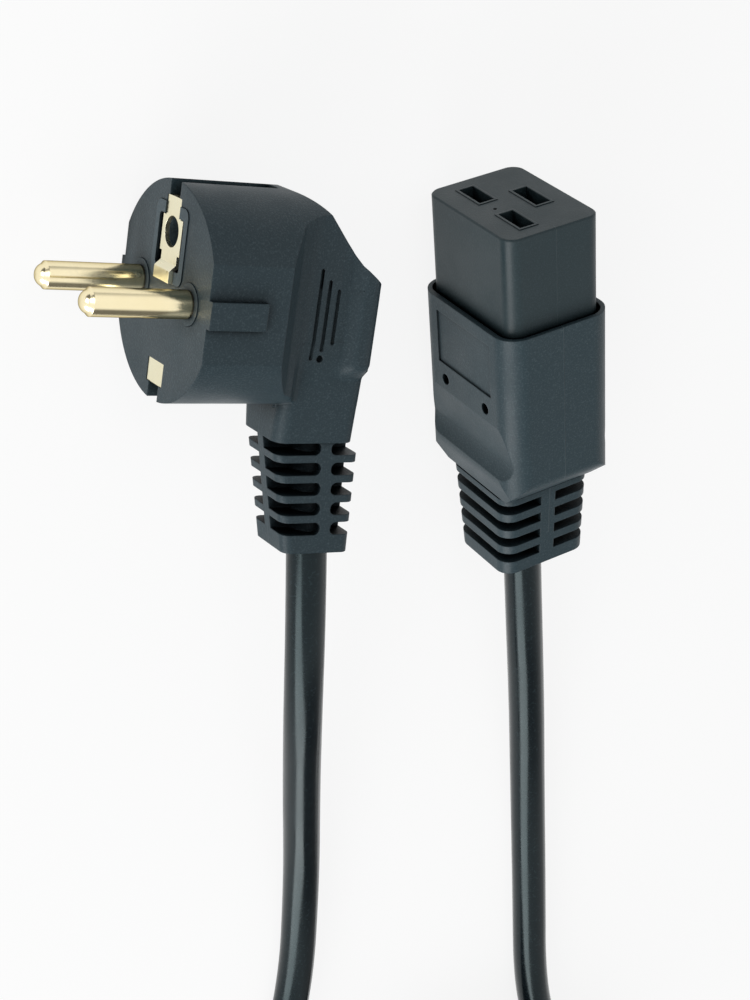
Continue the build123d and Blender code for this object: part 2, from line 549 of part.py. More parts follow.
# Connector overmould: rounded section, shoulders on the narrow sides and rounded heels on the wide ones
with BuildPart() as connector_overmould:
    with BuildSketch(level(0, COLLAR_TOP)):
        RectangleRounded(COLLAR_X, COLLAR_Z, COLLAR_ROUND)
    extrude(amount=COLLAR_TOP - COLLAR_END)
    with BuildSketch(Plane.YZ) as shoulders:
        Polygon(
            (COLLAR_TOP, COLLAR_Z / 2), (COLLAR_TOP, -COLLAR_Z / 2), (SHOULDER_Y, -COLLAR_Z / 2),
            (COLLAR_END, -SHOULDER_Z), (COLLAR_END, SHOULDER_Z), (SHOULDER_Y, COLLAR_Z / 2),
            align=None,
        )
        fillet(shoulders.vertices().filter_by_position(Axis.X, SHOULDER_Y - 0.1, SHOULDER_Y + 0.1), SHOULDER_ROUND)
    extrude(amount=COLLAR_X, both=True, mode=Mode.INTERSECT)
    with BuildSketch(Plane.XY) as heel:
        wide, narrow = COLLAR_X / 2, COLLAR_X / 2 - HEEL_IN
        Polygon(
            (-wide, COLLAR_TOP), (wide, COLLAR_TOP), (wide, HEEL_Y), (narrow, COLLAR_END), (-narrow, COLLAR_END),
            (-wide, HEEL_Y),
            align=None,
        )
        fillet(heel.vertices().filter_by_position(Axis.Y, HEEL_Y - 0.1, HEEL_Y + 0.1), HEEL_ROUND)
        fillet(heel.vertices().group_by(Axis.Y)[0], HEEL_END_ROUND)
    extrude(amount=COLLAR_Z, both=True, mode=Mode.INTERSECT)
    add(scoop_cutter.part, mode=Mode.SUBTRACT)
    with BuildSketch(level(0, COLLAR_END)):
        RectangleRounded(*TAIL_TOP_SIZE, TAIL_ROUND)
    with BuildSketch(level(0, TAIL_END)):
        RectangleRounded(*TAIL_END_SIZE, TAIL_ROUND)
    loft()
    add(tail_cutter.part, mode=Mode.SUBTRACT)
    with BuildSketch(TAIL_AXIS):
        Circle(RELIEF_CORE_R)
    extrude(amount=COLLAR_END - TAIL_END - RELIEF_END_WALL)
    with BuildSketch(level(0, COLLAR_TOP)):
        RectangleRounded(INSERT_X + 2 * MOAT_WIDTH, INSERT_Z + 2 * MOAT_WIDTH, INSERT_ROUND + MOAT_WIDTH)
    extrude(amount=MOAT_DEPTH, mode=Mode.SUBTRACT)
    with BuildSketch(Plane.YZ.offset(-COLLAR_X / 2 - 1)):
        Polygon(*span(LABEL_FLOOR, LABEL_TOP, -LABEL_HALF, LABEL_HALF), align=None)
    extrude(amount=1 + LABEL_DEPTH, mode=Mode.SUBTRACT)
    with BuildSketch(Plane.YZ.offset(-COLLAR_X / 2 - 1)):
        with Locations((PIP_Y, PIP_Z), (PIP_Y, -PIP_Z)):
            Circle(PIP_D / 2)
    extrude(amount=1 + PIP_DEPTH, mode=Mode.SUBTRACT)
    with BuildSketch(TAIL_AXIS.offset(tail_in)):
        Circle(CABLE_D / 2)
    extrude(amount=CONNECTOR_JACKET_IN, mode=Mode.SUBTRACT)
    with BuildSketch(level(0, 0)):
        RectangleRounded(INSERT_X, INSERT_Z, INSERT_ROUND)
    extrude(amount=-INSERT_BACK, mode=Mode.SUBTRACT)
    for core_name in CONTACTS:
        add(connector_contacts[core_name].part, mode=Mode.SUBTRACT)
        for inner in connector_cores[core_name]:
            add(inner.part, mode=Mode.SUBTRACT)


def along(place, axis, distance):
    """Point on a cable axis, taken to where the end lies."""
    return tuple((place * Location(axis.from_local_coords((0, 0, distance)))).position)


def tube(points):
    """Cable along straight runs joined by arcs, each as large as its two runs allow."""
    spots = [Vector(*p) for p in points]
    runs = [b - a for a, b in zip(spots, spots[1:])]
    radii = []
    for a, b in zip(runs, runs[1:]):
        radii.append(RUN_SHARE * min(a.length, b.length) / tan(radians(a.get_angle(b) / 2)))
    print("points", [tuple(round(q, 1) for q in p) for p in points], "radii", [round(r) for r in radii])
    with BuildPart() as drawn:
        with BuildLine() as path:
            FilletPolyline(*points, radius=radii)
        with BuildSketch(Plane(origin=points[0], z_dir=runs[0])):
            Circle(CABLE_D / 2)
        sweep()
    length = path.wires()[0].length
    print("length", round(length, 1), "volume share", round(drawn.part.volume / (length * pi * CABLE_D**2 / 4), 5))
    return drawn


# Coil of the length that is put away: its turns lie side by side in two layers, as one closed ring
COIL_OUT_R = COIL_MEAN_R + COIL_COLUMNS * CABLE_D / 2
TURN_R = COIL_OUT_R - CABLE_D / 2
TOP_TURN = CABLE_D * (COIL_LAYERS - 0.5)
RING = (COIL_COLUMNS * CABLE_D + COIL_SLACK, COIL_LAYERS * CABLE_D - COIL_SLACK)


def coil_end(angle, z, way, slope):
    """Plane where a cable end touches the coil, seen from the coil's middle, with its normal along the cable."""
    a, s = radians(angle), radians(slope)
    away = (-way * sin(a) * cos(s), way * cos(a) * cos(s), -sin(s))
    return Plane(origin=(TURN_R * cos(a), TURN_R * sin(a), z), z_dir=away)


IN_END = coil_end(COIL_IN_ANGLE, TOP_TURN, -1, STUB_SLOPE)
OUT_END = coil_end(COIL_OUT_ANGLE, GROUND, 1, 0)
with BuildPart() as cord_coil:
    with BuildSketch(Plane.XZ):
        with Locations((COIL_MEAN_R, COIL_LAYERS * CABLE_D / 2)):
            RectangleRounded(*RING, CABLE_D / 2 - COIL_SLACK)
    revolve(axis=Axis.Z)
    for end_plane in (IN_END, OUT_END):
        with BuildSketch(end_plane):
            Circle(CABLE_D / 2)
        extrude(amount=STUB)

plug_side = [
    along(PLUG_PLACE, RELIEF_AXIS, RELIEF_RUN),
    along(PLUG_PLACE, RELIEF_AXIS, RELIEF_RUN + LEAD_OUT[0]),
    *PLUG_RUN,
    along(COIL_PLACE, IN_END, STUB + LAST_RUN[0]),
    along(COIL_PLACE, IN_END, STUB),
]
connector_side = [
    along(CONNECTOR_PLACE, TAIL_AXIS, COLLAR_END - TAIL_END),
    along(CONNECTOR_PLACE, TAIL_AXIS, COLLAR_END - TAIL_END + LEAD_OUT[1]),
    *CONNECTOR_RUN,
    along(COIL_PLACE, OUT_END, STUB + LAST_RUN[1]),
    along(COIL_PLACE, OUT_END, STUB),
]
cord_plug_side = tube(plug_side)
cord_connector_side = tube(connector_side)

finish(plug_overmould, "plug_overmould", PLUG_PLACE)
finish(plug_contact_carrier, "plug_contact_carrier", PLUG_PLACE)
finish(plug_earth_strip, "plug_earth_strip", PLUG_PLACE)
finish(plug_earth_spring, "plug_earth_spring", PLUG_PLACE)
finish(plug_pin_line, "plug_pin_line", PLUG_PLACE)
finish(plug_pin_neutral, "plug_pin_neutral", PLUG_PLACE)
finish(plug_cable_end, "plug_cable_end", PLUG_PLACE)
finish(connector_overmould, "connector_overmould", CONNECTOR_PLACE)
finish(connector_insert, "connector_insert", CONNECTOR_PLACE)
finish(connector_cable_end, "connector_cable_end", CONNECTOR_PLACE)
for core_name in CONTACTS:
    finish(connector_contacts[core_name], f"connector_contact_{core_name}", CONNECTOR_PLACE)
for end, cores, place in (("plug", plug_cores, PLUG_PLACE), ("connector", connector_cores, CONNECTOR_PLACE)):
    for core_name, (strand, sleeve) in cores.items():
        finish(strand, f"{end}_strand_{core_name}", place)
        finish(sleeve, f"{end}_core_{core_name}", place)
finish(cord_plug_side, "cord_plug_side")
finish(cord_connector_side, "cord_connector_side")
finish(cord_coil, "cord_coil", COIL_PLACE)
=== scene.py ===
"""Looks of a mains cord set: moulded right-angled plug, moulded connector and one round black cable.

Everything is in metres in the model's own frame: the ground is z = 0 and the two ends lie round the
origin. The mouldings, pins and strip keep their modelled forms and get their finishes here. The sides of
the plug's grip get a thin skin that flows into the neck. The cable is drawn as one smooth line from the
plug to the connector, with the length that the view doesn't show wound in a coil.
"""

from math import pi, radians

import bpy
import numpy as np
from mathutils import Matrix, Vector


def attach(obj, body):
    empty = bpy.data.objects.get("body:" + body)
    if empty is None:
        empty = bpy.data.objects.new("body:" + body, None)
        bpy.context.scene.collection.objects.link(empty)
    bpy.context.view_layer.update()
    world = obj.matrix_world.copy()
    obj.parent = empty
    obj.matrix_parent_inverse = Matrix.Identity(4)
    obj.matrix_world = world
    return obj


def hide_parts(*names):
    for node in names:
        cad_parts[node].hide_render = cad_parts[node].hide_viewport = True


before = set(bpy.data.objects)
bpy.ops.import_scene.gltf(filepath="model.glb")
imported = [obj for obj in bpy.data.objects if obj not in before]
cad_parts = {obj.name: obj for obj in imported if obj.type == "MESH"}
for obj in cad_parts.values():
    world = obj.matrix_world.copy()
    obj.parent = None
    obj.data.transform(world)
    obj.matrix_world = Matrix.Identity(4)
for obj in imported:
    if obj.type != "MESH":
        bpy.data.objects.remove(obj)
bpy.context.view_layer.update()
scene = bpy.context.scene
MM = 0.001

# Camera of the photograph: where it stands, where it looks, and its up direction
CAMERA_AT = (-0.13787, 0.15448, 0.30926)
CAMERA_LOOK = (0.3806, -0.4798, -0.7906)
CAMERA_UP = (0.3416, 0.8674, -0.3619)
CAMERA_LENS, CAMERA_SENSOR = 72.0, 36.0

# Where each moulded end lies, in millimetres and degrees: its own origin, turn about the vertical, tilt
# about x
PLUG_AT, PLUG_TURN, PLUG_TILT = (-30.1, 30.3, 17.9), -20.0, -3.0
CONNECTOR_AT, CONNECTOR_TURN, CONNECTOR_TILT = (37.2, 26.1, 19.95), -1.4, 5.5

# Cable, in millimetres and degrees: its diameter, the coil's middle, the radii of its columns and the
# heights of its layers, and the angles at which the cable comes in and leaves
CABLE_D = 7.5
COIL_AT = (-11.0, -221.2)
COIL_COLUMNS, COIL_LAYERS = (47.5, 40.0, 32.5), (11.25, 3.75)
COIL_IN_ANGLE, COIL_OUT_ANGLE = 160.0, 8.0
COIL_TURNS = 5 + (COIL_OUT_ANGLE + 360 - COIL_IN_ANGLE) / 360
# Share of a turn in which the cable moves to the next column
COIL_STEP = 0.2
POINTS_A_TURN = 16
# Points that the cable passes beside on its way to the coil, from each end
PLUG_ROUTE = (
    (-13.6, -23.8, 20.3), (-16.9, -39.5, 21.1), (-19.5, -59.2, 18.6), (-20.0, -82.2, 11.5),
    (-20.9, -108.2, 4.9), (-26.6, -136.2, 3.75), (-37.9, -156.4, 5.8), (-45.4, -176.9, 8.1),
)
CONNECTOR_ROUTE = (
    (35.4, -46.8, 12.9), (34.9, -66.7, 11.0), (35.4, -88.2, 7.4), (35.0, -112.2, 4.2),
    (32.6, -139.2, 3.75), (29.5, -168.0, 3.75), (31.9, -184.9, 3.75),
)


def colour(code):
    """Linear colour of an sRGB hex value such as #3b464a."""
    parts = np.array([int(code[n : n + 2], 16) for n in (1, 3, 5)]) / 255
    linear = np.where(parts <= 0.04045, parts / 12.92, ((parts + 0.055) / 1.055) ** 2.4)
    return (*linear.tolist(), 1.0)


def add(tree, kind, values=None, links=None, **settings):
    """Add one shader node, set its properties and sockets, and link its inputs."""
    made = tree.nodes.new("ShaderNode" + kind)
    for key, value in settings.items():
        setattr(made, key, value)
    for socket, value in (values or {}).items():
        made.inputs[socket].default_value = value
    for socket, source in (links or {}).items():
        tree.links.new(source, made.inputs[socket])
    return made


def blank(name):
    """New material with an empty tree, its object coordinates and its output."""
    made = bpy.data.materials.new(name)
    made.use_nodes = True
    tree = made.node_tree
    tree.nodes.clear()
    place = add(tree, "TexCoord").outputs["Object"]
    return made, tree, place, add(tree, "OutputMaterial")


# Painted shade in slots and pockets, darker the more of the sky round a spot is shut off: how far round a
# spot it is felt, in millimetres, the open share of the sky at which it is black and at which it is clear,
# its colour, and the gloss there and on open faces
POCKET_REACH, POCKET_BLACK, POCKET_CLEAR = 4.0, 0.42, 0.9
POCKET_SHADE_COLOUR = "#020304"
POCKET_SHADE_SHINE, SHINE = 0.03, 0.24
# Rays for soft edges and pockets, and scales of the slow changes in a surface, in waves a metre
SHADE_RAYS = 4
CLOUD_SCALE, HAZE_SCALE, DUST_SCALE = 90.0, 160.0, 1800.0
# Parting line: distances from its plane, in millimetres, at which it starts and is full, and its paleness
SEAM_START, SEAM_FULL, SEAM_PALE = 0.11, 0.04, 0.6
# Metal edges are broken by this radius, in millimetres
METAL_EDGE = 0.12


def own_frame(tree, place, at, turn, tilt):
    """Millimetre coordinates of an end in its own frame, where its modelled sizes hold."""
    spots = add(
        tree, "Mapping",
        {
            "Location": [q * MM for q in at],
            "Rotation": (radians(tilt), 0, radians(turn)),
            "Scale": (MM, MM, MM),
        },
        {"Vector": place}, vector_type="TEXTURE",
    )
    return add(tree, "SeparateXYZ", None, {"Vector": spots.outputs["Vector"]}).outputs


def parting_line(tree, own, axis, at, side, beyond):
    """Thin line where the mould's halves met: 1 on the plane axis = at, where side is past a distance."""
    away = add(tree, "Math", {1: at}, {0: own[axis]}, operation="SUBTRACT")
    near = add(tree, "Math", None, {0: away.outputs["Value"]}, operation="ABSOLUTE")
    line = add(
        tree, "MapRange", {"From Min": SEAM_START, "From Max": SEAM_FULL},
        {"Value": near.outputs["Value"]},
    )
    reach = add(tree, "Math", None, {0: own[side]}, operation="ABSOLUTE")
    gate = add(tree, "Math", {1: beyond}, {0: reach.outputs["Value"]}, operation="GREATER_THAN")
    return add(
        tree, "Math", None, {0: line.outputs["Result"], 1: gate.outputs["Value"]}, operation="MULTIPLY",
    ).outputs["Value"]


def open_sky(tree):
    """1 on open faces, falling to 0 in slots and pockets, by how much is shut off round a spot."""
    pocket = add(tree, "AmbientOcclusion", {"Distance": POCKET_REACH * MM}, samples=SHADE_RAYS)
    return add(
        tree, "MapRange", {"From Min": POCKET_BLACK, "From Max": POCKET_CLEAR},
        {"Value": pocket.outputs["AO"]},
    ).outputs["Result"]


def moulded(name, dark, light, grain_mm, grain_depth_mm, roughness, edge_mm, lie=None, seam=None):
    """Injection-moulded plastic: spark-eroded grain, gloss in slow patches, soft edges, painted shade in
    pockets.

    lie is where the end lies and seam where its parting line runs, in the end's own millimetres.
    """
    made, tree, place, out = blank(name)
    grain = add(
        tree, "TexNoise", {"Scale": 1000 / grain_mm, "Detail": 2.0, "Roughness": 0.6}, {"Vector": place},
    )
    cloud = add(
        tree, "TexNoise", {"Scale": CLOUD_SCALE, "Detail": 3.0, "Roughness": 0.5}, {"Vector": place},
    )
    edge = add(tree, "Bevel", {"Radius": edge_mm * MM}, samples=SHADE_RAYS)
    pale = add(
        tree, "MapRange", {"From Min": 0.5, "From Max": 0.75, "To Max": 0.45},
        {"Value": grain.outputs["Fac"]},
    ).outputs["Result"]
    height = grain.outputs["Fac"]
    if seam:
        line = parting_line(tree, own_frame(tree, place, *lie), *seam)
        broken = add(
            tree, "MapRange", {"From Min": 0.45, "From Max": 0.75, "To Max": SEAM_PALE},
            {"Value": cloud.outputs["Fac"]},
        ).outputs["Result"]
        mark = add(tree, "Math", None, {0: line, 1: broken}, operation="MULTIPLY").outputs["Value"]
        pale = add(tree, "Math", None, {0: mark, 1: pale}, operation="MAXIMUM").outputs["Value"]
        height = add(tree, "Math", None, {0: line, 1: height}, operation="ADD").outputs["Value"]
    paint = add(
        tree, "Mix", {"A": colour(dark), "B": colour(light)}, {"Factor": pale}, data_type="RGBA",
    )
    # Painted shade: colour and gloss fall towards black in slots and pockets, by the share of sky shut off
    # round a spot
    sky_share = open_sky(tree)
    tone = add(
        tree, "Mix", {"A": colour(POCKET_SHADE_COLOUR)},
        {"Factor": sky_share, "B": paint.outputs["Result"]}, data_type="RGBA",
    )
    shine = add(tree, "MapRange", {"To Min": POCKET_SHADE_SHINE, "To Max": SHINE}, {"Value": sky_share})
    gloss = add(
        tree, "MapRange",
        {"From Min": 0.3, "From Max": 0.7, "To Min": roughness - 0.06, "To Max": roughness + 0.08},
        {"Value": cloud.outputs["Fac"]},
    )
    bump = add(
        tree, "Bump", {"Strength": 0.6, "Distance": grain_depth_mm * MM},
        {"Height": height, "Normal": edge.outputs["Normal"]},
    )
    skin = add(
        tree, "BsdfPrincipled", {"IOR": 1.5, "Specular IOR Level": SHINE},
        {
            "Base Color": tone.outputs["Result"],
            "Roughness": gloss.outputs["Result"],
            "Specular IOR Level": shine.outputs["Result"],
            "Normal": bump.outputs["Normal"],
        },
    )
    tree.links.new(skin.outputs["BSDF"], out.inputs["Surface"])
    return made


def metal(name, clean, dull, grazing_tint, stretch, grain_mm, depth_mm, roughness):
    """Plated or bare metal: fine marks drawn out one way, a faint change of tone, a tinted grazing
    reflection.
    """
    made, tree, place, out = blank(name)
    along = add(tree, "Mapping", {"Scale": stretch}, {"Vector": place})
    marks = add(
        tree, "TexNoise", {"Scale": 1000 / grain_mm, "Detail": 3.0, "Roughness": 0.6},
        {"Vector": along.outputs["Vector"]},
    )
    haze = add(tree, "TexNoise", {"Scale": HAZE_SCALE, "Detail": 2.0}, {"Vector": place})
    paint = add(
        tree, "Mix", {"A": colour(clean), "B": colour(dull)}, {"Factor": haze.outputs["Fac"]},
        data_type="RGBA",
    )
    gloss = add(
        tree, "MapRange",
        {"From Min": 0.3, "From Max": 0.7, "To Min": roughness - 0.04, "To Max": roughness + 0.06},
        {"Value": marks.outputs["Fac"]},
    )
    edge = add(tree, "Bevel", {"Radius": METAL_EDGE * MM}, samples=SHADE_RAYS)
    bump = add(
        tree, "Bump", {"Strength": 0.5, "Distance": depth_mm * MM},
        {"Height": marks.outputs["Fac"], "Normal": edge.outputs["Normal"]},
    )
    skin = add(
        tree, "BsdfPrincipled", {"Metallic": 1.0, "Specular Tint": colour(grazing_tint)},
        {
            "Base Color": paint.outputs["Result"],
            "Roughness": gloss.outputs["Result"],
            "Normal": bump.outputs["Normal"],
        },
    )
    tree.links.new(skin.outputs["BSDF"], out.inputs["Surface"])
    return made


# The grain of the plastics and the marks of the metals are drawn a few times coarser than the real 0.1 mm,
# so that they show at the photograph's scale.
# Soft PVC moulded over the ends: slate black, half matt, with a spark-eroded grain that glitters on its
# round edges
PLUG_PVC = moulded(
    "moulded_pvc_plug", "#243238", "#4a595f", 0.32, 0.1, 0.42, 0.35,
    (PLUG_AT, PLUG_TURN, PLUG_TILT), ("Z", 0.0, "Y", 18.9),
)
CONNECTOR_PVC = moulded(
    "moulded_pvc_connector", "#28373d", "#4c5b61", 0.32, 0.09, 0.42, 0.35,
    (CONNECTOR_AT, CONNECTOR_TURN, CONNECTOR_TILT), ("X", 0.3, "Z", 9.0),
)
# Hard PBT of the connector's block: the same slate black, a little smoother
MOULDED_PBT = moulded(
    "moulded_pbt_block", "#253236", "#39474c", 0.28, 0.05, 0.4, 0.3,
    (CONNECTOR_AT, CONNECTOR_TURN, CONNECTOR_TILT), ("X", 0.1, "Z", 12.5),
)
# Glass-filled polyamide of the contact carrier: a shade lighter and dry looking
CARRIER_NYLON = moulded("glass_filled_nylon", "#3a474d", "#5d6a70", 0.3, 0.05, 0.5, 0.15)
# Nickel-plated turned brass of the pins: warm, bright, with faint turning rings across the pin; its dark
# grazing tint is painted shade, darkening the reflections at the pins' edges
NICKEL_PIN = metal(
    "nickel_plated_turned_brass", "#fff3cd", "#f6e7bb", "#8a7f68", (6, 0.6, 0.6), 0.8, 0.002, 0.17,
)
# Nickel-plated spring strip: drawn marks along the strip
NICKEL_STRIP = metal(
    "nickel_plated_strip", "#fffce4", "#fbf5d8", "#b3a88c", (1.5, 0.4, 1.5), 1.2, 0.002, 0.3,
)
# Drawn copper strands and stamped brass contacts, seen only when an end is cut open
COPPER = metal("drawn_copper_strand", "#c77f52", "#a8623c", "#b58a6a", (5, 0.6, 5), 0.3, 0.02, 0.3)
CONTACT_BRASS = metal("stamped_brass", "#c3a567", "#a4864b", "#b0a080", (1, 1, 4), 0.5, 0.005, 0.32)


# Colour of the light that smooth PVC throws back, a little cold
SHEATH_SHEEN = "#adc4c7"


def sheath(name, dark, light, roughness, ripple_mm):
    """Extruded PVC: smooth and glossy, with a shallow ripple and a trace of dust in its tone."""
    made, tree, place, out = blank(name)
    ripple = add(tree, "TexNoise", {"Scale": 1000 / ripple_mm, "Detail": 2.0}, {"Vector": place})
    dust = add(tree, "TexNoise", {"Scale": DUST_SCALE, "Detail": 2.0}, {"Vector": place})
    specks = add(tree, "MapRange", {"From Min": 0.55, "From Max": 0.8}, {"Value": dust.outputs["Fac"]})
    paint = add(
        tree, "Mix", {"A": colour(dark), "B": colour(light)}, {"Factor": specks.outputs["Result"]},
        data_type="RGBA",
    )
    gloss = add(
        tree, "MapRange",
        {"From Min": 0.3, "From Max": 0.7, "To Min": roughness - 0.04, "To Max": roughness + 0.05},
        {"Value": ripple.outputs["Fac"]},
    )
    bump = add(tree, "Bump", {"Strength": 0.3, "Distance": 0.04 * MM}, {"Height": ripple.outputs["Fac"]})
    skin = add(
        tree, "BsdfPrincipled",
        {"IOR": 1.5, "Specular IOR Level": 0.45, "Specular Tint": colour(SHEATH_SHEEN)},
        {
            "Base Color": paint.outputs["Result"],
            "Roughness": gloss.outputs["Result"],
            "Normal": bump.outputs["Normal"],
        },
    )
    tree.links.new(skin.outputs["BSDF"], out.inputs["Surface"])
    return made


# Extruded black PVC of the cable, and the coloured insulation of its three cores
JACKET_PVC = sheath("extruded_black_pvc", "#0c1216", "#1f292d", 0.2, 8.0)
CORE_BROWN = sheath("brown_core_pvc", "#5b3320", "#6d4230", 0.35, 2.0)
CORE_BLUE = sheath("blue_core_pvc", "#2f5f9e", "#4473ab", 0.35, 2.0)
CORE_GREEN = sheath("green_core_pvc", "#3f8a3a", "#c9c23a", 0.35, 2.0)

FINISHES = {
    "plug_overmould": PLUG_PVC,
    "connector_overmould": CONNECTOR_PVC,
    "connector_insert": MOULDED_PBT,
    "plug_contact_carrier": CARRIER_NYLON,
    "plug_pin_line": NICKEL_PIN,
    "plug_pin_neutral": NICKEL_PIN,
    "plug_earth_strip": NICKEL_STRIP,
    "plug_earth_spring": NICKEL_STRIP,
    "plug_cable_end": JACKET_PVC,
    "connector_cable_end": JACKET_PVC,
}
for core_name, insulation in (("line", CORE_BROWN), ("neutral", CORE_BLUE), ("earth", CORE_GREEN)):
    FINISHES[f"connector_contact_{core_name}"] = CONTACT_BRASS
    for end in ("plug", "connector"):
        FINISHES[f"{end}_core_{core_name}"] = insulation
        FINISHES[f"{end}_strand_{core_name}"] = COPPER
for node_name, finish in FINISHES.items():
    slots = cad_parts[node_name].data.materials
    slots.clear()
    slots.append(finish)


# Side of the grip, in the plug's own millimetres. Waist: outline seen from above (x, half width), the rib
# behind it, the heights that the skin covers, its grid step, and the round at the back
CHEEK_LINE = ((20.3, 10.87), (21.02, 10.5), (22.0, 10.0), (23.09, 9.88), (28.2, 9.3), (30.0, 9.3))
CHEEK_RIB_FROM, CHEEK_RIB_TO, CHEEK_RIB_HALF = 29.8, 32.8, 10.6
CHEEK_TOP, CHEEK_FLOOR, CHEEK_STEP = 3.4, -18.6, 0.14
CHEEK_BACK, CHEEK_ROUND, CORNER_STEPS = 36.2, 2.3, 14
FACE_R = 18.6
# Neck: height of its top, the run over which it narrows, half width and what it loses, front, back, round
NECK_TOP, NECK_RUN, NECK_HALF, NECK_TAPER = -6.0, 18.6, 9.4, 2.7
NECK_FRONT, NECK_FRONT_LEAN, NECK_BACK, NECK_BACK_LEAN, NECK_ROUND = 20.5, 0.7, 36.0, 1.0, 2.4
# Depths below the pins' line, from and to, where the waist and the rib give way to the neck, and the x
# ranges over which the front joins in and the rib's own depths take over
WAIST_ENDS, RIB_ENDS = (4.0, 15.0), (9.5, 13.0)
FRONT_JOINS, RIB_TAKES = (20.4, 23.4), (28.5, 31.0)
# Grooves (x, upper end, lower end) and the sprue mark, with the width of their soft lip out and in
GRIP_GROOVES = ((24.0, 6.8, -9.0), (25.9, 4.9, -7.5), (27.9, 3.3, -6.3))
GROOVE_WIDTH, GROOVE_DEPTH = 0.65, 0.5
SPRUE_AT, SPRUE_D, SPRUE_DEPTH = (25.9, -8.8), 1.2, 0.75
LIP_OUT, LIP_IN = 0.04, 0.1
# How far the skin stands on the moulding, how deep its border dips into it over a short run, how much
# lower than the neck it may lie just above it, its thickness, and how far down the back its last row goes
CHEEK_LIFT, CHEEK_DIP, CHEEK_RUN, CHEEK_RISE = 0.02, 0.1, 0.9, 0.25
CHEEK_THICK, CHEEK_TUCK = 0.2, 0.6


def ramp(values, start, end):
    """Smooth step: 0 at start, 1 at end, 3t^2 - 2t^3 between."""
    t = np.clip((values - start) / (end - start), 0, 1)
    return t * t * (3 - 2 * t)


def laid(points, at, turn, tilt):
    """Points of an end's own frame, in millimetres, taken to where the end lies, in metres."""
    a, b = radians(turn), radians(tilt)
    about_z = np.array([[np.cos(a), -np.sin(a), 0], [np.sin(a), np.cos(a), 0], [0, 0, 1]])
    about_x = np.array([[1, 0, 0], [0, np.cos(b), -np.sin(b)], [0, np.sin(b), np.cos(b)]])
    return (points @ (about_z @ about_x).T + np.array(at)) * MM


